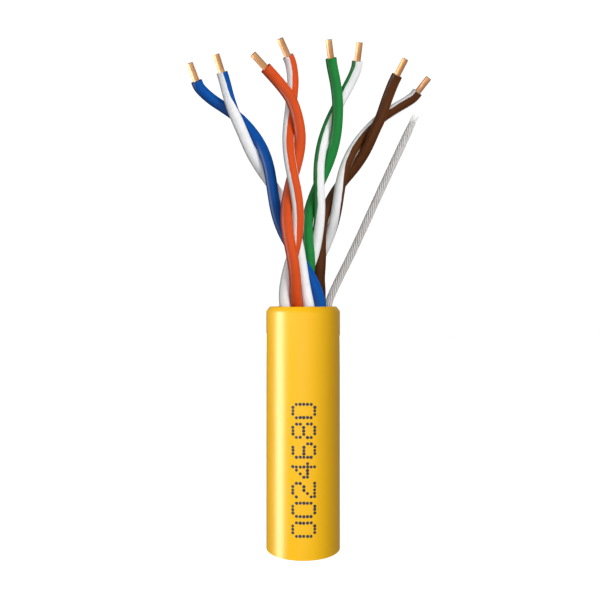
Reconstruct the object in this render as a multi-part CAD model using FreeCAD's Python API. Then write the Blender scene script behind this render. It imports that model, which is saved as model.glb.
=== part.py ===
import FreeCAD
import Part
import math
import os

# A stripped end of unshielded four-pair network cable, standing on its cut face.
# Millimetres, +Z up the cable. The origin is the jacket's axis at the cut face.
# The jacket covers the lower length. Above its mouth the four twisted pairs
# spread into a fan, each pair parts into its two wires, and each wire ends in
# bare copper. A ripcord lies along the bore and leans out of the mouth.

# --- driving dimensions ------------------------------------------------------
copper_diameter = 0.48
insulation_wall = 0.18
strand_gap = 0.05            # between the two wires of one twisted pair
pair_gap = 0.01              # between neighbouring pairs inside the jacket
bore_clearance = 0.085       # between the outermost pair and the jacket's bore
jacket_wall = 0.57
jacket_length = 18.0
strip_margin = 0.01          # from the last bend up to the end of the insulation
rim_bevel_width = 0.26       # outer edge of the mouth, pressed down by the stripper
rim_bevel_height = 0.34
ripcord_diameter = 0.60
ripcord_clearance = 0.03     # between the ripcord and the jacket's bore
ripcord_tuck = 0.05          # gap where the ripcord's two lengths meet at the mouth
pair_lay = 11.4              # length of one full twist of a pair
cable_lay = 90.0             # length of one full turn of the four pairs together
samples_per_twist = 12
arc_share = 0.45             # part of the shorter run that each corner arc takes up

# --- sizes that follow -------------------------------------------------------
copper_radius = copper_diameter / 2
wire_radius = copper_radius + insulation_wall
twist_radius = wire_radius + strand_gap / 2
pair_radius = twist_radius + wire_radius
pair_offset = (pair_radius + pair_gap / 2) * math.sqrt(2)
bore_radius = pair_offset + pair_radius + bore_clearance
jacket_radius = bore_radius + jacket_wall
ripcord_radius = ripcord_diameter / 2
ripcord_offset = bore_radius - ripcord_clearance - ripcord_radius
ripcord_pivot_height = ripcord_radius + ripcord_tuck
sample_step = pair_lay / samples_per_twist
slope_probe = 0.01           # height step used to read a route's slope
layout_pair_radius = 0.865   # the pair radius that the routes below are drawn for
spread = pair_radius / layout_pair_radius

# --- the twisted pairs' routes above the mouth ---------------------------------
# Each row is a point of the pair's axis: height above the mouth, across (+X),
# depth (+Y), and the twist in degrees. The twist is the direction of the plain
# coloured wire from the axis: 0 is +X, 90 is +Y. Its white mate is opposite.
pairs = {
    "orange": {
        "quarter": 225,
        "hand": -1,
        "axis": [
            (0.8, -0.96, -1.32, -16),
            (2.1, -0.88, -1.80, -45),
            (3.6, -0.77, -2.15, -90),
            (6.5, -0.78, -2.25, -180),
            (9.4, -0.77, -2.10, -270),
            (12.1, -0.65, -1.90, -360),
            (14.0, -0.75, -1.80, -423),
        ],
        "plain_end": [
            (-0.90, -2.18, 14.95),
            (-1.62, -2.26, 15.88),
            (-2.343, -2.575, 16.603),
            (-3.52, -3.28, 17.70),
        ],
        "white_end": [
            (-0.82, -1.20, 15.30),
            (-0.71, -1.32, 16.50),
            (-0.88, -1.66, 17.62),
            (-1.66, -2.44, 19.08),
        ],
    },
    "blue": {
        "quarter": 315,
        "hand": 1,
        "axis": [
            (1.2, 0.58, -0.66, 22),
            (2.3, 0.23, -0.62, 56),
            (3.4, -0.18, -0.58, 90),
            (6.2, -1.30, -0.55, 180),
            (9.1, -2.32, -0.50, 270),
            (11.6, -3.45, -0.45, 360),
            (13.1, -4.26, -0.40, 407),
        ],
        "plain_end": [
            (-4.80, 0.08, 14.10),
            (-5.80, 0.04, 14.80),
            (-6.84, -0.16, 15.42),
            (-7.68, -0.60, 16.12),
            (-8.26, -1.36, 17.72),
        ],
        "white_end": [
            (-5.10, -0.84, 14.25),
            (-5.48, -0.80, 15.40),
            (-5.774, -0.976, 16.596),
            (-6.30, -1.68, 18.25),
        ],
    },
    "green": {
        "quarter": 135,
        "hand": -1,
        "axis": [
            (0.8, -0.70, 0.90, -20),
            (1.6, -0.16, 1.00, -48),
            (3.1, 0.53, 1.05, -90),
            (6.4, 0.78, 1.00, -180),
            (9.3, 1.19, 1.00, -270),
            (12.3, 1.91, 0.95, -360),
            (14.2, 2.36, 0.90, -416),
        ],
        "plain_end": [
            (2.62, 0.44, 15.35),
            (2.46, 0.30, 16.70),
            (2.163, 0.023, 17.939),
            (1.88, -0.74, 19.65),
        ],
        "white_end": [
            (2.62, 1.38, 15.30),
            (3.38, 1.34, 16.68),
            (4.06, 1.06, 17.98),
            (4.26, 0.30, 19.84),
        ],
    },
    "brown": {
        "quarter": 45,
        "hand": -1,
        "axis": [
            (0.8, 0.93, 1.35, -15),
            (2.0, 0.90, 1.98, -38),
            (3.9, 1.38, 2.52, -90),
            (6.7, 2.00, 2.50, -180),
            (9.5, 2.92, 2.20, -270),
            (11.9, 4.27, 1.90, -360),
            (13.6, 5.30, 1.80, -418),
        ],
        "plain_end": [
            (5.96, 1.22, 14.45),
            (6.38, 1.06, 15.75),
            (6.843, 0.732, 16.938),
            (7.64, -0.04, 18.48),
        ],
        "white_end": [
            (6.04, 2.14, 14.62),
            (7.20, 1.98, 15.36),
            (8.42, 1.62, 15.98),
            (9.54, 0.84, 17.34),
        ],
    },
}

# The ripcord's free length, from its pivot: across, depth, height above the mouth.
ripcord_free_route = [
    (3.80, -0.12, 4.25),
    (5.98, -0.38, 9.10),
    (8.06, -0.80, 13.55),
]


def smooth_row(rows, height):
    """Values at one height on a smooth curve through rows of (height, value, ...)."""
    last = len(rows) - 1
    index = 0
    while index < last - 1 and height > rows[index + 1][0]:
        index += 1
    low, high = rows[index], rows[index + 1]
    before = rows[max(index - 1, 0)]
    after = rows[min(index + 2, last)]
    gap = high[0] - low[0]
    t = (height - low[0]) / gap
    values = []
    for column in range(1, len(low)):
        slope_low = (high[column] - before[column]) / (high[0] - before[0]) * gap
        slope_high = (after[column] - low[column]) / (after[0] - low[0]) * gap
        values.append(
            low[column] * (2 * t**3 - 3 * t**2 + 1)
            + slope_low * (t**3 - 2 * t**2 + t)
            + high[column] * (3 * t**2 - 2 * t**3)
            + slope_high * (t**3 - t**2)
        )
    return values


def pair_rows(pair):
    """The pair's whole axis, from the cut face up: rows of height above the mouth."""
    rows = []
    inner_steps = 6
    for step in range(inner_steps + 1):
        height = -jacket_length * (1 - step / inner_steps)
        turn = math.radians(pair["quarter"] + 360 * height / cable_lay)
        twist = pair["hand"] * 360 * height / pair_lay
        rows.append((height, pair_offset * math.cos(turn), pair_offset * math.sin(turn), twist))
    for height, across, depth, twist in pair["axis"]:
        rows.append((height, across * spread, depth * spread, twist))
    return rows


def wire_route(pair, side, end_points):
    """Corner points of one wire: a helix round the pair's axis, then its free end.

    The first point is one step below the cut face, where the saw has taken it off.
    """
    rows = pair_rows(pair)
    top = rows[-1][0]
    steps = round((top + jacket_length) / sample_step)
    route = []
    for step in range(-1, steps + 1):
        height = -jacket_length + (top + jacket_length) * step / steps
        across, depth, twist = smooth_row(rows, height)
        below = smooth_row(rows, height - slope_probe)
        above = smooth_row(rows, height + slope_probe)
        tangent = FreeCAD.Vector(above[0] - below[0], above[1] - below[1], 2 * slope_probe)
        tangent.normalize()
        sideways = FreeCAD.Vector(tangent.z, 0, -tangent.x).normalize()
        inwards = tangent.cross(sideways)
        angle = math.radians(twist)
        axis = FreeCAD.Vector(across, depth, jacket_length + height)
        offset = sideways * math.cos(angle) + inwards * math.sin(angle)
        route.append(axis + offset * twist_radius * side)
    for across, depth, height in end_points:
        route.append(FreeCAD.Vector(across * spread, depth * spread, jacket_length + height))
    return route


def ripcord_inner_route():
    """The ripcord's length along the bore, turning with the pairs."""
    steps = 6
    step_height = jacket_length / steps
    route = []
    for step in range(-1, steps + 1):
        height = step * step_height
        turn = math.radians(360 * (height - jacket_length) / cable_lay)
        across = ripcord_offset * math.cos(turn)
        depth = ripcord_offset * math.sin(turn)
        route.append(FreeCAD.Vector(across, depth, height))
    return route


def corner_arc(before, corner, after):
    """Turn angle in radians, reach along each run and radius of a corner's tangent arc."""
    turn = (corner - before).getAngle(after - corner)
    reach = arc_share * min((corner - before).Length, (after - corner).Length)
    return turn, reach, reach / math.tan(turn / 2)


def bare_length(route):
    """The insulation is stripped back to just above the last bend."""
    reach = corner_arc(*route[-3:])[1]
    return (route[-1] - route[-2]).Length - reach - strip_margin


def rounded_length(route, trim_end=0.0):
    """Length of the rounded route above the cut face, and its tightest arc."""
    length = -trim_end
    for start, end in zip(route, route[1:]):
        if start.z < 0:
            length += end.z * (end - start).Length / (end.z - start.z)
        else:
            length += (end - start).Length
    tightest = math.inf
    for corner in zip(route, route[1:], route[2:]):
        turn, reach, arc_radius = corner_arc(*corner)
        length += arc_radius * turn - 2 * reach
        tightest = min(tightest, arc_radius)
    return length, tightest


def swept_skin(route, radius, trim_end=0.0):
    """Faces of a round skin along straight runs joined by tangent arcs, and its end rings."""
    first_run = (route[1] - route[0]).normalize()
    ring = Part.Circle(route[0], first_run, radius).toShape()
    start_ring = ring
    here = route[0]
    faces = []
    for before, corner, after in zip(route, route[1:], route[2:]):
        run_in = (corner - before).normalize()
        run_out = (after - corner).normalize()
        turn, reach, arc_radius = corner_arc(before, corner, after)
        bend_start = corner - run_in * reach
        faces.append(ring.extrude(bend_start - here))
        ring = ring.translated(bend_start - here)
        axis = run_in.cross(run_out).normalize()
        centre = bend_start + axis.cross(run_in) * arc_radius
        faces.append(ring.revolve(centre, axis, math.degrees(turn)))
        ring = ring.rotated(centre, axis, math.degrees(turn))
        here = corner + run_out * reach
    end = route[-1] - (route[-1] - route[-2]).normalize() * trim_end
    faces.append(ring.extrude(end - here))
    return faces, start_ring, ring.translated(end - here)


def tube(route, radius, bore=0.0, trim_end=0.0):
    """A round solid along the route, with a concentric bore if one is given."""
    faces, *end_rings = swept_skin(route, radius, trim_end)
    end_loops = [[ring] for ring in end_rings]
    if bore:
        bore_faces, *bore_rings = swept_skin(route, bore, trim_end)
        faces += bore_faces
        for loops, ring in zip(end_loops, bore_rings):
            loops.append(ring)
    for loops in end_loops:
        wires = [Part.Wire([ring]) for ring in loops]
        faces.append(Part.makeFace(wires, "Part::FaceMakerBullseye"))
    shell = Part.makeShell(faces)
    shell.sewShape()
    solid = Part.makeSolid(shell)
    if solid.Volume < 0:
        solid.reverse()
    return solid


def level_foot(solid):
    """The solid with what reaches below the cut face sawn off."""
    depth = 2 * sample_step + jacket_length
    block = Part.makeBox(4 * jacket_radius, 4 * jacket_radius, depth)
    block.translate(FreeCAD.Vector(-2 * jacket_radius, -2 * jacket_radius, -depth))
    return solid.cut(block)


def make_jacket():
    """The sheath: an extruded tube with a pressed-down rim at the mouth."""
    top = jacket_length
    profile = [
        (bore_radius, 0),
        (jacket_radius, 0),
        (jacket_radius, top - rim_bevel_height),
        (jacket_radius - rim_bevel_width, top),
        (bore_radius, top),
    ]
    corners = [FreeCAD.Vector(radius, 0, height) for radius, height in profile]
    outline = Part.makePolygon(corners + corners[:1])
    axis_foot = FreeCAD.Vector(0, 0, 0)
    return Part.Face(outline).revolve(axis_foot, FreeCAD.Vector(0, 0, 1), 360)


def make_wire(colour, pair, side, end_points):
    """One wire as two solids: the insulation and the copper that runs through it."""
    route = wire_route(pair, side, end_points)
    bare = bare_length(route)
    insulation = level_foot(tube(route, wire_radius, copper_radius, bare))
    conductor = level_foot(tube(route, copper_radius))
    report("insulation_" + colour, insulation, route, wire_radius, copper_radius, bare)
    report("conductor_" + colour, conductor, route, copper_radius)
    return insulation, conductor


def make_ripcord_inner():
    """The ripcord in the bore, ending level with the mouth."""
    route = ripcord_inner_route()
    solid = level_foot(tube(route, ripcord_radius))
    report("ripcord_inner", solid, route, ripcord_radius)
    return solid


def make_ripcord_free():
    """The ripcord above the mouth, round at the end that it turns on."""
    pivot = FreeCAD.Vector(ripcord_offset, 0, jacket_length + ripcord_pivot_height)
    route = [pivot]
    for across, depth, height in ripcord_free_route:
        route.append(FreeCAD.Vector(across * spread, depth * spread, jacket_length + height))
    thread = tube(route, ripcord_radius)
    report("ripcord_free", thread, route, ripcord_radius)
    return thread.fuse(Part.makeSphere(ripcord_radius, pivot))


def report(name, solid, route, radius, bore=0.0, trim_end=0.0):
    """Print a length of cord: its length, tightest arc, and volume against its section."""
    length, tightest = rounded_length(route, trim_end)
    expected = math.pi * (radius**2 - bore**2) * length
    print(
        f"{name}: length {length:.2f} mm, tightest arc {tightest:.2f} mm, "
        f"volume {solid.Volume:.3f} of {expected:.3f} mm3, valid {solid.isValid()}"
    )


os.makedirs("parts", exist_ok=True)
shapes = {"jacket": make_jacket()}
for colour, pair in pairs.items():
    plain = make_wire(colour, pair, 1, pair["plain_end"])
    white = make_wire("white_" + colour, pair, -1, pair["white_end"])
    shapes["insulation_" + colour], shapes["conductor_" + colour] = plain
    shapes["insulation_white_" + colour], shapes["conductor_white_" + colour] = white
shapes["ripcord_inner"] = make_ripcord_inner()
shapes["ripcord_free"] = make_ripcord_free()
for name, shape in shapes.items():
    shape.exportStep(f"parts/{name}.step")
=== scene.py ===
import math
import random
import bmesh
import bpy
from mathutils import Matrix, Vector


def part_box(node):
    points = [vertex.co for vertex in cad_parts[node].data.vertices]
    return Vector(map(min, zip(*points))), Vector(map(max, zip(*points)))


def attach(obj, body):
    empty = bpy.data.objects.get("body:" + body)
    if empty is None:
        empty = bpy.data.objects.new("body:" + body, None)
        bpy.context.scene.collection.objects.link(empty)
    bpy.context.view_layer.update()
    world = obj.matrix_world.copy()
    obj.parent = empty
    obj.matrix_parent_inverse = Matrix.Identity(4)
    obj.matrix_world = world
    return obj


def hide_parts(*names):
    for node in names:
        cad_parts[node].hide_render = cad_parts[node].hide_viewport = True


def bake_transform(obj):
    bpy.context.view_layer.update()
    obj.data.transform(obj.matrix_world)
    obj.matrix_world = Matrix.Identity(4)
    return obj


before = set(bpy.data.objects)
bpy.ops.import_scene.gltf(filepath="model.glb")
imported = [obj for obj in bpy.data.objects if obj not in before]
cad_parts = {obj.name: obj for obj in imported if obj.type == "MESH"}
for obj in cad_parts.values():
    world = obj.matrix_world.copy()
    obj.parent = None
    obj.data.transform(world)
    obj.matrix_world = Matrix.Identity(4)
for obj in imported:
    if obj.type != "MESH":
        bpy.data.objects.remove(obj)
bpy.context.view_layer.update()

mm = 0.001

# --- Camera ---------------------------------------------------------------------------
# It looks level along +Y from just above the jacket's mouth, so the mouth is seen
# edge on and the cut foot curves towards the viewer.
mouth = Vector(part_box("jacket")[1]).z
camera_distance = 52 * mm
camera_aside = -0.23 * mm
camera_above_mouth = 0.48 * mm
frame_width = 44.82 * mm
camera_data = bpy.data.cameras.new("front_camera")
camera_data.sensor_width = 36
camera_data.lens = camera_data.sensor_width * camera_distance / frame_width
camera_data.clip_start = 1 * mm
camera_data.clip_end = 2.0
camera = bpy.data.objects.new("front_camera", camera_data)
bpy.context.collection.objects.link(camera)
camera.location = (camera_aside, -camera_distance, mouth + camera_above_mouth)
camera.rotation_euler = (math.pi / 2, 0, 0)
bpy.context.scene.camera = camera
bpy.context.scene.view_settings.view_transform = "Standard"


# --- Wires: insulation ----------------------------------------------------------------
# Each wire is a solid copper conductor in extruded polyethylene. Two wires, a plain
# coloured one and its striped white mate, are twisted into a pair on a machine, and
# the installer's fingers have opened the pairs above the jacket's mouth.
wire_radius = 0.42 * mm
copper_radius = 0.24 * mm
twist_radius = 0.445 * mm
pair_offset = 0.87 * math.sqrt(2) * mm
pair_lay = 11.4 * mm
cable_lay = 90.0 * mm
sample_step = pair_lay / 12

# Rows of "axis": height above the mouth, across, depth in millimetres, twist in
# degrees. Rows of the ends: across, depth, height above the mouth. "bare" is the
# stripped copper and "length" the whole wire, in millimetres. "stripe" turns the
# stripe round its wire: height above the foot, direction in degrees.
pairs = {
    "orange": {
        "quarter": 225,
        "hand": -1,
        "axis": [
            (0.8, -0.96, -1.32, -16),
            (2.1, -0.88, -1.80, -45),
            (3.6, -0.77, -2.15, -90),
            (6.5, -0.78, -2.25, -180),
            (9.4, -0.77, -2.10, -270),
            (12.1, -0.65, -1.90, -360),
            (14.0, -0.75, -1.80, -423),
        ],
        "plain_end": [
            (-0.90, -2.18, 14.95),
            (-1.62, -2.26, 15.88),
            (-2.343, -2.575, 16.603),
            (-3.52, -3.28, 17.70),
        ],
        "white_end": [
            (-0.82, -1.20, 15.30),
            (-0.71, -1.32, 16.50),
            (-0.88, -1.66, 17.62),
            (-1.66, -2.44, 19.08),
        ],
        "plain_bare": 1.265,
        "white_bare": 1.288,
        "plain_length": 38.3,
        "white_length": 38.6,
        "stripe": [
            (0, 90), (19.5, 75), (22.5, -35), (25, -62), (30, -62), (33, -50), (40, -52),
        ],
        "colour": (210, 78, 28),
    },
    "blue": {
        "quarter": 315,
        "hand": 1,
        "axis": [
            (1.2, 0.58, -0.66, 22),
            (2.3, 0.23, -0.62, 56),
            (3.4, -0.18, -0.58, 90),
            (6.2, -1.30, -0.55, 180),
            (9.1, -2.32, -0.50, 270),
            (11.6, -3.45, -0.45, 360),
            (13.1, -4.26, -0.40, 407),
        ],
        "plain_end": [
            (-4.80, 0.08, 14.10),
            (-5.80, 0.04, 14.80),
            (-6.84, -0.16, 15.42),
            (-7.68, -0.60, 16.12),
            (-8.26, -1.36, 17.72),
        ],
        "white_end": [
            (-5.10, -0.84, 14.25),
            (-5.48, -0.80, 15.40),
            (-5.774, -0.976, 16.596),
            (-6.30, -1.68, 18.25),
        ],
        "plain_bare": 1.324,
        "white_bare": 1.303,
        "plain_length": 40.0,
        "white_length": 38.4,
        "stripe": [(0, 90), (29.5, 80), (31.5, 40), (33.5, -28), (40, -40)],
        "colour": (0, 78, 160),
    },
    "green": {
        "quarter": 135,
        "hand": -1,
        "axis": [
            (0.8, -0.70, 0.90, -20),
            (1.6, -0.16, 1.00, -48),
            (3.1, 0.53, 1.05, -90),
            (6.4, 0.78, 1.00, -180),
            (9.3, 1.19, 1.00, -270),
            (12.3, 1.91, 0.95, -360),
            (14.2, 2.36, 0.90, -416),
        ],
        "plain_end": [
            (2.62, 0.44, 15.35),
            (2.46, 0.30, 16.70),
            (2.163, 0.023, 17.939),
            (1.88, -0.74, 19.65),
        ],
        "white_end": [
            (2.62, 1.38, 15.30),
            (3.38, 1.34, 16.68),
            (4.06, 1.06, 17.98),
            (4.26, 0.30, 19.84),
        ],
        "plain_bare": 1.298,
        "white_bare": 1.337,
        "plain_length": 39.1,
        "white_length": 40.1,
        "stripe": [(0, -270), (21, -220), (23.5, -190), (26, -155), (40, -155)],
        "colour": (28, 128, 56),
    },
    "brown": {
        "quarter": 45,
        "hand": -1,
        "axis": [
            (0.8, 0.93, 1.35, -15),
            (2.0, 0.90, 1.98, -38),
            (3.9, 1.38, 2.52, -90),
            (6.7, 2.00, 2.50, -180),
            (9.5, 2.92, 2.20, -270),
            (11.9, 4.27, 1.90, -360),
            (13.6, 5.30, 1.80, -418),
        ],
        "plain_end": [
            (5.96, 1.22, 14.45),
            (6.38, 1.06, 15.75),
            (6.843, 0.732, 16.938),
            (7.64, -0.04, 18.48),
        ],
        "white_end": [
            (6.04, 2.14, 14.62),
            (7.20, 1.98, 15.36),
            (8.42, 1.62, 15.98),
            (9.54, 0.84, 17.34),
        ],
        "plain_bare": 1.297,
        "white_bare": 1.280,
        "plain_length": 39.3,
        "white_length": 40.0,
        "stripe": [
            (0, 90), (22.4, 50), (25.5, -8), (27.4, -20), (29.2, -58), (31, -68), (40, -45),
        ],
        "colour": (86, 46, 16),
    },
}


def smooth_row(rows, height):
    """Values at one height on a smooth curve through rows of (height, value, ...)."""
    last = len(rows) - 1
    index = 0
    while index < last - 1 and height > rows[index + 1][0]:
        index += 1
    low, high = rows[index], rows[index + 1]
    before = rows[max(index - 1, 0)]
    after = rows[min(index + 2, last)]
    gap = high[0] - low[0]
    t = (height - low[0]) / gap
    values = []
    for column in range(1, len(low)):
        slope_low = (high[column] - before[column]) / (high[0] - before[0]) * gap
        slope_high = (after[column] - low[column]) / (after[0] - low[0]) * gap
        values.append(
            low[column] * (2 * t**3 - 3 * t**2 + 1)
            + slope_low * (t**3 - 2 * t**2 + t)
            + high[column] * (3 * t**2 - 2 * t**3)
            + slope_high * (t**3 - t**2)
        )
    return values


def pair_rows(pair):
    """The pair's whole axis, from the cut foot up, in metres."""
    rows = []
    inner_steps = 6
    for step in range(inner_steps + 1):
        height = -mouth * (1 - step / inner_steps)
        turn = math.radians(pair["quarter"] + 360 * height / cable_lay)
        twist = pair["hand"] * 360 * height / pair_lay
        rows.append((height, pair_offset * math.cos(turn), pair_offset * math.sin(turn), twist))
    for height, across, depth, twist in pair["axis"]:
        rows.append((height * mm, across * mm, depth * mm, twist))
    return rows


def wire_route(pair, side, end_points, bare):
    """Corner points of one wire: a helix round the pair's axis, then its free end.

    The first point is one step below the foot. The end of the insulation gets a
    point of its own on the last run, because the bare copper is straight.
    """
    rows = pair_rows(pair)
    top = rows[-1][0]
    steps = round((top + mouth) / sample_step)
    probe = 0.01 * mm
    route = []
    for step in range(-1, steps + 1):
        height = -mouth + (top + mouth) * step / steps
        across, depth, twist = smooth_row(rows, height)
        below = smooth_row(rows, height - probe)
        above = smooth_row(rows, height + probe)
        tangent = Vector((above[0] - below[0], above[1] - below[1], 2 * probe)).normalized()
        sideways = Vector((tangent.z, 0, -tangent.x)).normalized()
        inwards = tangent.cross(sideways)
        angle = math.radians(twist)
        offset = sideways * math.cos(angle) + inwards * math.sin(angle)
        route.append(Vector((across, depth, mouth + height)) + offset * twist_radius * side)
    for across, depth, height in end_points:
        route.append(Vector((across * mm, depth * mm, mouth + height * mm)))
    tip_direction = (route[-1] - route[-2]).normalized()
    route.insert(-1, route[-1] - tip_direction * bare * mm)
    return route


def centreline(corners):
    """Points read along the smooth NURBS line of these corners, from the foot up."""
    data = bpy.data.curves.new("centreline", "CURVE")
    data.dimensions = "3D"
    data.resolution_u = 7
    spline = data.splines.new("NURBS")
    spline.points.add(len(corners) - 1)
    for point, corner in zip(spline.points, corners):
        point.co = (*corner, 1)
    spline.order_u = 3
    spline.use_endpoint_u = True
    holder = bpy.data.objects.new("centreline", data)
    mesh = bpy.data.meshes.new_from_object(holder)
    points = [vertex.co.copy() for vertex in mesh.vertices]
    bpy.data.objects.remove(holder)
    bpy.data.curves.remove(data)
    bpy.data.meshes.remove(mesh)
    first = next(index for index, point in enumerate(points) if point.z > 0)
    below, above = points[first - 1], points[first]
    foot = below.lerp(above, -below.z / (above.z - below.z)) if first else points[0]
    return [foot, *points[max(first, 1):]]


def shortened(points, trim):
    """The line with a length taken off its far end."""
    points = list(points)
    while (points[-1] - points[-2]).length <= trim:
        trim -= (points[-1] - points[-2]).length
        points.pop()
    run = points[-1] - points[-2]
    points[-1] = points[-1] - run.normalized() * trim
    return points


def directions(points):
    """The line's direction at each of its points."""
    ends = [points[0], *points, points[-1]]
    return [(after - before).normalized() for before, after in zip(ends, ends[2:])]


def ring(point, direction, radii, turn=0.0):
    """Points round the line, from its right-hand side towards its back, turned in degrees."""
    sideways = Vector((direction.z, 0, -direction.x)).normalized()
    inwards = direction.cross(sideways)
    count = len(radii)
    points = []
    for step, radius in enumerate(radii):
        angle = math.radians(turn) + math.tau * step / count
        points.append(point + (sideways * math.cos(angle) + inwards * math.sin(angle)) * radius)
    return points


def level(points, direction):
    """A ring slid along its line onto the level cut at the foot."""
    return [point - direction * (point.z / direction.z) for point in points]


def rounded_end(end, direction, radius, edge, count, turn=0.0):
    """The last rings of a tube or rod, with its outer edge rounded over."""
    return [
        ring(end - direction * back, direction, [radius - inset] * count, turn)
        for back, inset in ((edge, 0), (edge * 0.3, edge * 0.3), (0, edge))
    ]


def lofted(name, rings, along, closed=False, caps=False, cut_rings=()):
    """A mesh piece through rings of points; its UV map runs once round and along in metres.

    Faces that start on one of cut_rings, and the far cap, take the second material.
    """
    count = len(rings[0])
    faces = []
    coordinates = []
    cut_faces = []
    pairs_of_rings = [(low, low + 1) for low in range(len(rings) - 1)]
    if closed:
        pairs_of_rings.append((len(rings) - 1, 0))
    for low, high in pairs_of_rings:
        for step in range(count):
            after = (step + 1) % count
            faces.append((low * count + step, low * count + after,
                          high * count + after, high * count + step))
            cut_faces.append(low in cut_rings)
            left, right = step / count, (step + 1) / count
            coordinates += [(left, along[low]), (right, along[low]),
                            (right, along[high]), (left, along[high])]
    if caps:
        last = (len(rings) - 1) * count
        faces.append(tuple(reversed(range(count))))
        faces.append(tuple(range(last, last + count)))
        cut_faces += [False, bool(cut_rings)]
        coordinates += [(step / count, along[0]) for step in reversed(range(count))]
        coordinates += [(step / count, along[-1]) for step in range(count)]
    mesh = bpy.data.meshes.new(name)
    mesh.from_pydata([point for points in rings for point in points], [], faces)
    skin = mesh.uv_layers.new(name="skin")
    for loop, coordinate in zip(skin.data, coordinates):
        loop.uv = coordinate
    for polygon, cut in zip(mesh.polygons, cut_faces):
        polygon.material_index = int(cut)
    piece = bpy.data.objects.new(name, mesh)
    bpy.context.collection.objects.link(piece)
    bpy.ops.object.select_all(action="DESELECT")
    piece.select_set(True)
    bpy.context.view_layer.objects.active = piece
    bpy.ops.object.shade_smooth_by_angle(angle=math.radians(32))
    return piece


def distances(points):
    """How far along the line each point is."""
    total = 0.0
    along = [total]
    for start, end in zip(points, points[1:]):
        total += (end - start).length
        along.append(total)
    return along


def stripe_turn(pair, height):
    """Direction of the stripe round its wire at one height, in degrees."""
    return smooth_row(pair["stripe"], height / mm)[0]


def make_insulation(name, points, turns):
    """A hollow tube, sawn level at the foot and stripped square with a rounded edge above."""
    count = 32
    edge = 0.035 * mm
    play = 0.002 * mm
    bore = copper_radius + play
    heading = directions(points)
    along = distances(points)
    outer = [ring(point, way, [wire_radius] * count, turn)
             for point, way, turn in zip(points, heading, turns)]
    inner = [ring(point, way, [bore] * count, turn)
             for point, way, turn in zip(points, heading, turns)]
    outer[0] = level(outer[0], heading[0])
    inner[0] = level(inner[0], heading[0])
    lip = rounded_end(points[-1], heading[-1], wire_radius, edge, count, turns[-1])
    rings = outer[:-1] + lip + inner[::-1]
    along_rings = along[:-1] + [along[-1]] * len(lip) + along[::-1]
    cut_rings = (len(outer), len(outer) + 1, len(rings) - 1)
    return lofted(name, rings, along_rings, closed=True, cut_rings=cut_rings)


class Signal:
    """A shader socket that Python arithmetic works on by adding Math nodes."""

    def __init__(self, finish, socket):
        self.finish = finish
        self.socket = socket

    def math(self, operation, *others):
        inputs = dict(enumerate((self, *others)))
        return self.finish.node("ShaderNodeMath", {"operation": operation}, inputs)

    def __add__(self, other):
        return self.math("ADD", other)

    def __sub__(self, other):
        return self.math("SUBTRACT", other)

    def __mul__(self, other):
        return self.math("MULTIPLY", other)

    def __rsub__(self, other):
        return (self * -1) + other

    __radd__ = __add__
    __rmul__ = __mul__

    def within(self, low, high):
        """0 at low, 1 at high and even in between."""
        settings = {"clamp": True}
        inputs = {"Value": self, "From Min": low, "From Max": high}
        return self.finish.node("ShaderNodeMapRange", settings, inputs)


class Finish:
    """One procedural material: node() adds nodes and surface() sets the shader's sockets."""

    def __init__(self, name, **constants):
        self.material = bpy.data.materials.new(name)
        self.material.use_nodes = True
        self.tree = self.material.node_tree
        self.shader = self.tree.nodes["Principled BSDF"]
        self.surface(**constants)

    def connect(self, socket, value):
        if isinstance(value, Signal):
            self.tree.links.new(value.socket, socket)
        else:
            socket.default_value = value

    def surface(self, **values):
        for name, value in values.items():
            self.connect(self.shader.inputs[name.replace("_", " ")], value)

    def node(self, kind, settings=None, inputs=None, output=0):
        made = self.tree.nodes.new(kind)
        for name, value in (settings or {}).items():
            setattr(made, name, value)
        for name, value in (inputs or {}).items():
            self.connect(made.inputs[name], value)
        return Signal(self, made.outputs[output])

    def skin(self):
        """The piece's own UV map: once round, and metres along."""
        return self.node("ShaderNodeUVMap", {"uv_map": "skin"})

    def place(self):
        return self.node("ShaderNodeTexCoord", output="Object")

    def stretched(self, coordinates, scale):
        return self.node("ShaderNodeMapping", inputs={"Vector": coordinates, "Scale": scale})

    def noise(self, coordinates, scale, detail=2.0, roughness=0.5):
        inputs = {"Vector": coordinates, "Scale": scale, "Detail": detail, "Roughness": roughness}
        return self.node("ShaderNodeTexNoise", inputs=inputs)

    def mix(self, factor, first, second):
        """Colour from first at factor 0 to second at 1."""
        inputs = {0: factor, 6: first, 7: second}
        return self.node("ShaderNodeMix", {"data_type": "RGBA"}, inputs, output=2)

    def bump(self, height, depth):
        inputs = {"Height": height, "Strength": 1.0, "Distance": depth}
        return self.node("ShaderNodeBump", inputs=inputs)


def paint(red, green, blue):
    """A colour as a paint chart gives it, 0 to 255, as the shader's own linear colour."""
    linear = []
    for value in (red, green, blue):
        share = value / 255
        linear.append(share / 12.92 if share <= 0.04045 else ((share + 0.055) / 1.055) ** 2.4)
    return (*linear, 1.0)


def shaded(colour, share):
    return (*(value * share for value in colour[:3]), 1.0)


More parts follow.
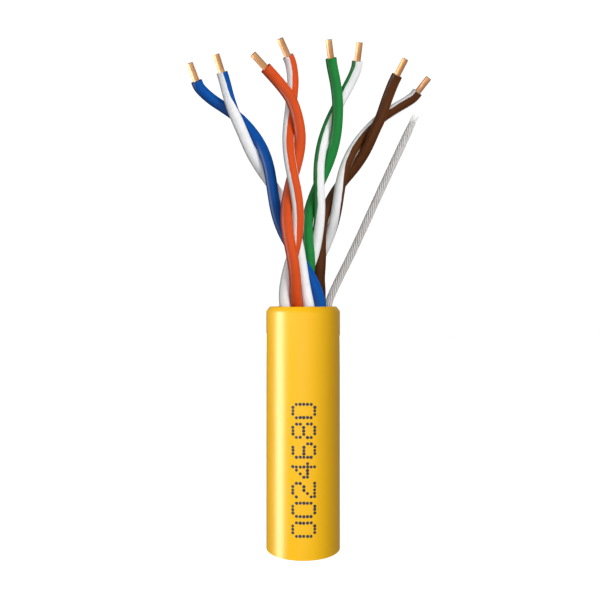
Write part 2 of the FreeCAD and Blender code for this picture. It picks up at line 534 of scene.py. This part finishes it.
def insulation_finish(name, colour, stripe=None):
    """Extruded polyethylene: faint die lines along it, slight mottling and handling marks."""
    finish = Finish(name, IOR=1.5, Specular_IOR_Level=0.15)
    place = finish.place()
    die_lines = finish.noise(finish.stretched(finish.skin(), (60, 900, 1)), 1.0, 3.0)
    mottle = finish.noise(place, 900, 3.0)
    marks = finish.noise(finish.stretched(finish.skin(), (9, 2600, 1)), 1.0, 4.0, 0.7)
    tone = finish.mix(mottle.within(0.3, 0.7), shaded(colour, 0.92), colour)
    if stripe:
        # Round the wire, half the stripe is this share of a turn, with a soft border.
        solid, border = 0.118, 0.127
        wander = (finish.noise(place, 1400, 2.0) - 0.5) * 0.035
        around = finish.node("ShaderNodeSeparateXYZ", inputs={0: finish.skin()}, output=0)
        edge = (around + wander).math("PINGPONG", 0.5)
        tone = finish.mix(1 - edge.within(solid, border), tone, stripe)
    finish.surface(
        Base_Color=tone,
        Roughness=marks.within(0.35, 0.75) * 0.1 + 0.36,
        Normal=finish.bump(die_lines * 0.6 + mottle * 0.4, 0.003 * mm),
    )
    return finish.material


def painted_shade_cut_plastic_finish(name, colour):
    """The torn and sheared end of the insulation: duller than its skin, and darkened with painted
    shade.
    """
    finish = Finish(name, Specular_IOR_Level=0.25)
    shear = finish.noise(finish.place(), 7000, 3.0, 0.6)
    # Painted shade: the end's colour is the skin's colour darkened to between a third and a half,
    # mottled by the shear noise.
    tone = finish.mix(shear.within(0.3, 0.7), shaded(colour, 0.32), shaded(colour, 0.5))
    finish.surface(Base_Color=tone, Roughness=0.7, Normal=finish.bump(shear, 0.006 * mm))
    return finish.material


white_polyethylene = paint(236, 237, 238)
plain_side, white_side = 1, -1
wires = {}
for colour, pair in pairs.items():
    pigment = paint(*pair["colour"])
    for kind, side, label in (
        ("plain", plain_side, colour),
        ("white", white_side, "white_" + colour),
    ):
        bare = pair[kind + "_bare"]
        route = wire_route(pair, side, pair[kind + "_end"], bare)
        points = centreline(route)
        sheathed = shortened(points, bare * mm)
        turns = [stripe_turn(pair, point.z) if kind == "white" else 0 for point in sheathed]
        piece = make_insulation("wire_" + label, sheathed, turns)
        base, stripe = (white_polyethylene, pigment) if kind == "white" else (pigment, None)
        piece.data.materials.append(insulation_finish("polyethylene_" + label, base, stripe))
        # The cut ends take a second material, darkened with painted shade.
        piece.data.materials.append(painted_shade_cut_plastic_finish("painted_shade_cut_polyethylene_" + label, base))
        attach(piece, "core")
        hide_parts("insulation_" + label)
        "insulation_" + label
        wires[label] = {"piece": piece, "points": points, "sheathed": sheathed,
                        "length": (pair[kind + "_length"] - bare) * mm}


# --- Wires: copper --------------------------------------------------------------------
# Solid drawn copper, 24 gauge, that runs the whole wire. The insulation was nicked
# round and pulled off the last stretch, and the tip was nipped square.
def make_conductor(name, points):
    """A solid rod with a small rolled edge at the nipped tip and a level cut at the foot."""
    count = 24
    edge = 0.022 * mm
    heading = directions(points)
    along = distances(points)
    rings = [ring(point, way, [copper_radius] * count) for point, way in zip(points, heading)]
    rings[0] = level(rings[0], heading[0])
    lip = rounded_end(points[-1], heading[-1], copper_radius, edge, count)
    cut_rings = (len(rings), len(rings) + 1)
    return lofted(name, rings[:-1] + lip, along[:-1] + [along[-1]] * len(lip), caps=True,
                  cut_rings=cut_rings)


def copper_finish():
    """Bright drawn copper: fine lines along the rod and a little tarnish."""
    finish = Finish("drawn_copper", Metallic=0.8)
    drawn = finish.noise(finish.stretched(finish.skin(), (26, 120, 1)), 1.0, 2.0)
    tarnish = finish.noise(finish.place(), 900, 2.0)
    tone = finish.mix(tarnish.within(0.35, 0.7), paint(252, 198, 146), paint(236, 168, 112))
    finish.surface(
        Base_Color=tone,
        Roughness=tarnish.within(0.3, 0.8) * 0.08 + 0.5,
        Normal=finish.bump(drawn, 0.0003 * mm),
    )
    return finish.material


def cut_copper_finish():
    """The nipped end: two smeared slopes of bare metal, in darker tones than the rod all over."""
    finish = Finish("nipped_copper", Metallic=1.0)
    smear = finish.noise(finish.stretched(finish.place(), (9000, 2500, 2500)), 1.0, 3.0)
    tone = finish.mix(smear.within(0.3, 0.7), paint(104, 62, 34), paint(158, 104, 64))
    finish.surface(Base_Color=tone, Roughness=0.55, Normal=finish.bump(smear, 0.01 * mm))
    return finish.material


copper = copper_finish()
nipped_copper = cut_copper_finish()
for label, wire in wires.items():
    conductor = wire["conductor"] = make_conductor("copper_" + label, wire["points"])
    conductor.data.materials.append(copper)
    conductor.data.materials.append(nipped_copper)
    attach(conductor, "core")
    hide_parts("conductor_" + label)


# --- Ripcord --------------------------------------------------------------------------
# A thread of many fine filaments, laid up with a slow twist, that lies in the bore
# beside the pairs. The installer pulls it down to slit the jacket.
ripcord_radius = 0.30 * mm
ripcord_offset = 1.85 * mm
strands = 11
ripcord_pivot = Vector((ripcord_offset, 0, mouth + 0.35 * mm))
ripcord_free_route = [
    (2.10, -0.01, 0.88),
    (3.80, -0.12, 4.25),
    (5.98, -0.38, 9.10),
    (8.06, -0.80, 13.55),
]


def ripcord_route():
    """Along the bore, turning with the pairs, then straight and leaning out over the rim."""
    route = []
    for height in (-3, 0, 3, 6, 9, 12, 15, 16.9, 18.0):
        turn = math.radians(360 * (height * mm - mouth) / cable_lay)
        across = ripcord_offset * math.cos(turn)
        depth = ripcord_offset * math.sin(turn)
        route.append(Vector((across, depth, height * mm)))
    for across, depth, height in ripcord_free_route:
        route.append(Vector((across * mm, depth * mm, mouth + height * mm)))
    return route


def make_ripcord(points):
    """Fine strands laid round each other, with sharp valleys between them.

    The thread is a little uneven along its length and thins towards its cut end.
    """
    count = 12 * strands
    twist_length = 4.2 * mm
    core_share, strand_share, strand_roundness = 0.80, 0.18, 0.7
    heading = directions(points)
    along = distances(points)
    rings = []
    for point, way, distance in zip(points, heading, along):
        loose = 0.012 * math.sin(distance / mm * 2.3) + 0.010 * math.sin(distance / mm * 5.9 + 1)
        loose -= 0.22 * max(0, 1 - (along[-1] - distance) / mm) ** 2
        radii = []
        for step in range(count):
            strand = abs(math.cos(strands * math.pi * step / count))
            share = core_share + loose + strand_share * strand**strand_roundness
            radii.append(ripcord_radius * share)
        rings.append(ring(point, way, radii, -360 * distance / twist_length))
    rings[0] = level(rings[0], heading[0])
    return lofted("ripcord", rings, along, caps=True)


def thread_finish():
    """Undyed filament thread: grey-white and matt, with painted shade down between the strands
    that weakens towards the cut end.
    """
    finish = Finish("filament_thread", Specular_IOR_Level=0.3)
    skin = finish.skin()
    around = finish.node("ShaderNodeSeparateXYZ", inputs={0: skin}, output=0)
    along = finish.node("ShaderNodeSeparateXYZ", inputs={0: skin}, output=1)
    # Painted shade: the valleys between the strands are darkened in the colour, less so towards
    # the cut end.
    valley_shade_fade = along.within(23 * mm, 33 * mm)
    painted_valley_shade = (around * strands).math("PINGPONG", 0.5)
    filaments = finish.noise(finish.stretched(skin, (90, 420, 1)), 1.0, 3.0, 0.7)
    fibre = finish.mix(filaments.within(0.3, 0.7), paint(192, 189, 187), paint(226, 223, 221))
    finish.surface(
        Base_Color=finish.mix(painted_valley_shade.within(0.22, 0.45) * (0.85 - valley_shade_fade * 0.5), fibre,
                              paint(96, 92, 91)),
        Roughness=0.75,
        Normal=finish.bump(filaments, 0.012 * mm),
    )
    return finish.material


def evenly(points, step):
    """The same line with points a step apart."""
    along = distances(points)
    count = round(along[-1] / step)
    even = []
    index = 0
    for number in range(count + 1):
        target = along[-1] * number / count
        while index < len(points) - 2 and along[index + 1] < target:
            index += 1
        share = (target - along[index]) / (along[index + 1] - along[index])
        even.append(points[index].lerp(points[index + 1], share))
    return even


ripcord_step = 0.11 * mm
ripcord_points = evenly(centreline(ripcord_route()), ripcord_step)
ripcord = make_ripcord(ripcord_points)
ripcord.data.materials.append(thread_finish())
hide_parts("ripcord_inner", "ripcord_free")
bend_up = (ripcord_points[-1] - ripcord_pivot).normalized()
ripcord_pivot - bend_up * 0.25 * mm
ripcord_pivot + bend_up * 0.45 * mm
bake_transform(ripcord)


def make_frayed_end(points):
    """Filaments that have worked loose from the cut end, each a fine tapering hair."""
    chance = random.Random(3)
    hair_count = 26
    hair_steps = 5
    corner_count = 4
    rooted = 0.3 * mm
    half_thickness = 0.016 * mm
    heading = (points[-1] - points[-9]).normalized()
    sideways = Vector((heading.z, 0, -heading.x)).normalized()
    inwards = heading.cross(sideways)
    hairs = bmesh.new()
    for number in range(hair_count):
        angle = math.tau * number / hair_count + chance.uniform(-0.1, 0.1)
        outwards = sideways * math.cos(angle) + inwards * math.sin(angle)
        reach = chance.uniform(0.25, 0.75) * mm
        spread = chance.uniform(0.02, 0.22)
        root = points[-1] - heading * rooted
        start = root + outwards * ripcord_radius * chance.uniform(0.35, 0.8)
        below = None
        for step in range(hair_steps + 1):
            share = step / hair_steps
            middle = start + heading * (reach + rooted) * share
            middle += outwards * reach * spread * share**2
            half = half_thickness * (1 - 0.6 * share)
            corners = []
            for corner in range(corner_count):
                turn = math.tau * corner / corner_count
                aside = outwards * math.cos(turn) + heading.cross(outwards) * math.sin(turn)
                corners.append(hairs.verts.new(middle + aside * half))
            if below:
                for corner in range(corner_count):
                    after = (corner + 1) % corner_count
                    side = (below[corner], below[after], corners[after], corners[corner])
                    hairs.faces.new(side)
            else:
                hairs.faces.new(corners[::-1])
            below = corners
        hairs.faces.new(below)
    bmesh.ops.recalc_face_normals(hairs, faces=hairs.faces)
    mesh = bpy.data.meshes.new("ripcord_fray")
    hairs.to_mesh(mesh)
    hairs.free()
    for polygon in mesh.polygons:
        polygon.use_smooth = True
    piece = bpy.data.objects.new("ripcord_fray", mesh)
    bpy.context.collection.objects.link(piece)
    return piece


def loose_filament_finish():
    """The same thread as single hairs: paler and without the shadowed valleys."""
    finish = Finish("loose_filaments", Specular_IOR_Level=0.3, Roughness=0.7)
    fluff = finish.noise(finish.place(), 4000, 2.0)
    finish.surface(Base_Color=finish.mix(fluff, paint(188, 185, 182), paint(232, 230, 228)))
    return finish.material


fray = make_frayed_end(ripcord_points)
fray.data.materials.append(loose_filament_finish())
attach(fray, "ripcord_end")


# --- Jacket ---------------------------------------------------------------------------
# The sheath is one extruded tube of soft plastic. The ring stripper pressed the outer
# edge of its mouth down, and the foot is sawn off square.
jacket_radius = 2.75 * mm
jacket_wall = 0.57 * mm
rim_bevel_width = 0.26 * mm
rim_bevel_height = 0.34 * mm


def extrude_to(radius, height, radius_now, height_now):
    """Extrudes the selected ring up or down and draws it to a new radius."""
    bpy.ops.mesh.extrude_region_move(
        TRANSFORM_OT_translate={"value": (0, 0, height - height_now)}
    )
    share = radius / radius_now
    bpy.ops.transform.resize(value=(share, share, 1), center_override=(0, 0, height))


def make_jacket():
    """The outline, as (radius, height) from the foot up and down the bore, drawn from a ring."""
    bore = jacket_radius - jacket_wall
    top = mouth
    outline = [
        (jacket_radius - 0.02 * mm, 0),
        (jacket_radius, 0.02 * mm),
        (jacket_radius, top * 0.25),
        (jacket_radius, top * 0.5),
        (jacket_radius, top * 0.75),
        (jacket_radius, top - rim_bevel_height - 0.05 * mm),
        (jacket_radius - 0.015 * mm, top - rim_bevel_height + 0.01 * mm),
        (jacket_radius - rim_bevel_width + 0.03 * mm, top - 0.045 * mm),
        (jacket_radius - rim_bevel_width, top - 0.01 * mm),
        (jacket_radius - rim_bevel_width - 0.03 * mm, top),
        (bore + 0.02 * mm, top),
        (bore, top - 0.02 * mm),
        (bore, top * 0.5),
        (bore, 0),
    ]
    bpy.ops.object.select_all(action="DESELECT")
    bpy.ops.mesh.primitive_circle_add(vertices=160, radius=outline[0][0], fill_type="NOTHING")
    jacket = bpy.context.object
    jacket.name = "jacket_sheath"
    bpy.ops.object.mode_set(mode="EDIT")
    bpy.ops.mesh.select_all(action="SELECT")
    radius_now, height_now = outline[0]
    for radius, height in outline[1:]:
        extrude_to(radius, height, radius_now, height_now)
        radius_now, height_now = radius, height
    extrude_to(outline[0][0], 0, radius_now, height_now)
    bpy.ops.mesh.select_all(action="SELECT")
    bpy.ops.mesh.remove_doubles(threshold=0.001 * mm)
    bpy.ops.mesh.normals_make_consistent(inside=False)
    bpy.ops.object.mode_set(mode="OBJECT")
    bpy.ops.object.shade_smooth_by_angle(angle=math.radians(24))
    return jacket


def jacket_finish():
    """Semi-gloss soft plastic: fine orange peel, faint die lines and rubbed marks."""
    finish = Finish("yellow_sheath", IOR=1.5, Specular_IOR_Level=0.45)
    place = finish.place()
    peel = finish.noise(place, 2600, 2.0)
    die_lines = finish.noise(finish.stretched(place, (2200, 2200, 40)), 1.0, 3.0)
    rubbed = finish.noise(finish.stretched(place, (500, 500, 160)), 1.0, 5.0, 0.65)
    yellow = paint(255, 193, 4)
    tone = finish.mix(rubbed.within(0.35, 0.7), shaded(yellow, 0.975), yellow)
    finish.surface(
        Base_Color=tone,
        Roughness=rubbed.within(0.35, 0.75) * 0.05 + 0.29,
        Normal=finish.bump(peel * 0.5 + die_lines * 0.5, 0.004 * mm),
    )
    return finish.material


jacket = make_jacket()
jacket.data.materials.append(jacket_finish())
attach(jacket, "sheath")
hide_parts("jacket")


# --- Length mark ----------------------------------------------------------------------
# A row of digits that an ink-jet head printed as dots while the cable ran past it,
# reading up the jacket. Each dot is a thin dried drop of dark ink.
glyphs = {
    "0": [" ### ", "#   #", "#   #", "#   #", "#   #", "#   #", " ### "],
    "2": [" ### ", "#   #", "    #", "  ## ", " #   ", "#    ", "#####"],
    "4": ["   # ", "  ## ", " # # ", "#  # ", "#####", "   # ", "   # "],
    "6": [" ### ", "#    ", "#    ", "#### ", "#   #", "#   #", " ### "],
    "8": [" ### ", "#   #", "#   #", " ### ", "#   #", "#   #", " ### "],
}
mark = "0024680"
dot_pitch = 0.262 * mm
column_pitch = 0.236 * mm
digit_pitch = 1.40 * mm
mark_foot = 1.75 * mm
mark_middle = 0.04 * mm
drop_radius = 0.118 * mm
drop_sunk = 0.002 * mm
jitter = 0.012


def make_drop():
    """One dried drop: a low dome with a rounded shoulder."""
    bpy.ops.object.select_all(action="DESELECT")
    bpy.ops.mesh.primitive_circle_add(vertices=12, radius=drop_radius, fill_type="NGON")
    drop = bpy.context.object
    bpy.ops.object.mode_set(mode="EDIT")
    bpy.ops.mesh.select_all(action="SELECT")
    bpy.ops.mesh.extrude_region_move(TRANSFORM_OT_translate={"value": (0, 0, 0.005 * mm)})
    bpy.ops.mesh.inset(thickness=0.025 * mm)
    bpy.ops.transform.translate(value=(0, 0, 0.003 * mm))
    bpy.ops.object.mode_set(mode="OBJECT")
    return drop


def make_mark():
    """Copies of the drop on the jacket's front, joined into one piece."""
    drop = make_drop()
    chance = random.Random(7)
    copies = []
    for number, digit in enumerate(mark):
        for row, line in enumerate(glyphs[digit]):
            for column, filled in enumerate(line):
                if filled != "#":
                    continue
                up = mark_foot + number * digit_pitch + column * column_pitch
                across = mark_middle + (row - 3) * dot_pitch
                across += chance.uniform(-jitter, jitter) * mm
                up += chance.uniform(-jitter, jitter) * mm
                angle = across / jacket_radius
                copy = drop.copy()
                copy.data = drop.data.copy()
                bpy.context.collection.objects.link(copy)
                size = chance.uniform(0.92, 1.06)
                stand = Matrix.Rotation(math.pi / 2, 4, "X") @ Matrix.Diagonal((size, size, 1, 1))
                out = Matrix.Translation((0, -(jacket_radius - drop_sunk), up))
                copy.data.transform(Matrix.Rotation(angle, 4, "Z") @ out @ stand)
                copies.append(copy)
    bpy.data.objects.remove(drop)
    bpy.ops.object.select_all(action="DESELECT")
    for copy in copies:
        copy.select_set(True)
    bpy.context.view_layer.objects.active = copies[0]
    bpy.ops.object.join()
    piece = bpy.context.object
    piece.name = "length_mark"
    bpy.ops.object.shade_smooth_by_angle(angle=math.radians(40))
    return piece


def ink_finish():
    """Dried solvent ink: near black, matt, thinner and greyer in places."""
    finish = Finish("dot_ink", IOR=1.4)
    blot = finish.noise(finish.place(), 5200, 2.0)
    finish.surface(
        Base_Color=finish.mix(blot.within(0.35, 0.7), paint(44, 48, 60), paint(72, 74, 82)),
        Roughness=blot * 0.2 + 0.5,
    )
    return finish.material


length_mark = make_mark()
length_mark.data.materials.clear()
length_mark.data.materials.append(ink_finish())
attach(length_mark, "sheath")


# --- Studio ---------------------------------------------------------------------------
# A pale round floor that sweeps up into a wall all round. Soft lights stand in front,
# at both sides and behind. The jacket has its key light on the left, the wires on the
# right, and a tall strip on the left gives the jacket its narrow highlight.
def make_sweep():
    """The floor and wall in one: a disc whose rim is extruded up round a quarter bend."""
    flat, bend, wall_top = 0.30, 0.15, 0.55
    bpy.ops.object.select_all(action="DESELECT")
    bpy.ops.mesh.primitive_circle_add(vertices=96, radius=flat, fill_type="NGON")
    sweep = bpy.context.object
    sweep.name = "floor_sweep"
    bpy.ops.object.mode_set(mode="EDIT")
    bpy.ops.mesh.select_mode(type="EDGE")
    bpy.ops.mesh.select_all(action="SELECT")
    bpy.ops.mesh.region_to_loop()
    radius, height = flat, 0.0
    steps = 12
    for step in range(1, steps + 1):
        angle = math.pi / 2 * step / steps
        wider, higher = flat + bend * math.sin(angle), bend * (1 - math.cos(angle))
        extrude_to(wider, higher, radius, height)
        radius, height = wider, higher
    extrude_to(radius, wall_top, radius, height)
    bpy.ops.object.mode_set(mode="OBJECT")
    bpy.ops.object.shade_smooth_by_angle(angle=math.radians(30))
    sweep.visible_diffuse = False
    sweep.visible_glossy = False
    sweep.visible_shadow = False
    return sweep


def sweep_finish():
    """Matt white paper, lit evenly enough to lose its horizon."""
    finish = Finish("pale_paper", Roughness=0.95, Specular_IOR_Level=0.0)
    grain = finish.noise(finish.place(), 40, 2.0)
    finish.surface(
        Base_Color=finish.mix(grain, (0.86, 0.86, 0.86, 1), (0.88, 0.88, 0.88, 1)),
        Emission_Color=(1, 1, 1, 1),
        Emission_Strength=0.78,
    )
    return finish.material


def add_light(name, place, size, power, matt=True, shine=True, only=()):
    """An area light aimed at the object's middle: place and size in metres, power in watts.

    It gives matt light, shine or both. With only, it lights just those pieces.
    """
    aim = Vector((0, 0, 0.02))
    data = bpy.data.lights.new(name, "AREA")
    data.shape = "RECTANGLE"
    data.size, data.size_y = size
    data.energy = power
    light = bpy.data.objects.new(name, data)
    bpy.context.collection.objects.link(light)
    light.location = place
    light.rotation_euler = (aim - light.location).to_track_quat("-Z", "Y").to_euler()
    light.visible_diffuse = matt
    light.visible_glossy = shine
    if only:
        receivers = bpy.data.collections.new(name + "_receivers")
        for piece in only:
            receivers.objects.link(piece)
        light.light_linking.receiver_collection = receivers


sweep = make_sweep()
sweep.data.materials.append(sweep_finish())
stub = [jacket, length_mark, sweep]
bundle = [ripcord, fray]
for wire in wires.values():
    bundle += [wire["piece"], wire["conductor"]]
add_light("key_left", (-0.145, -0.19, 0.09), (0.10, 0.14), 0.38, shine=False, only=stub)
add_light("key_right", (0.16, -0.20, 0.06), (0.10, 0.14), 0.42, shine=False, only=bundle)
add_light("front", (-0.03, -0.30, 0.06), (0.26, 0.30), 0.39, shine=False)
add_light("front_glow", (0.04, -0.30, 0.06), (0.40, 0.40), 0.30, matt=False)
add_light("shine_left", (-0.23, -0.055, 0.02), (0.13, 0.28), 1.30, matt=False)
add_light("fill_right", (0.19, -0.15, 0.05), (0.10, 0.20), 0.07, shine=False)
add_light("back", (0.07, 0.26, 0.10), (0.20, 0.24), 0.55, shine=False)
world = bpy.data.worlds.new("studio")
bpy.context.scene.world = world
world.use_nodes = True
background = world.node_tree.nodes["Background"]
background.inputs["Color"].default_value = (1, 1, 1, 1)
background.inputs["Strength"].default_value = 0.20
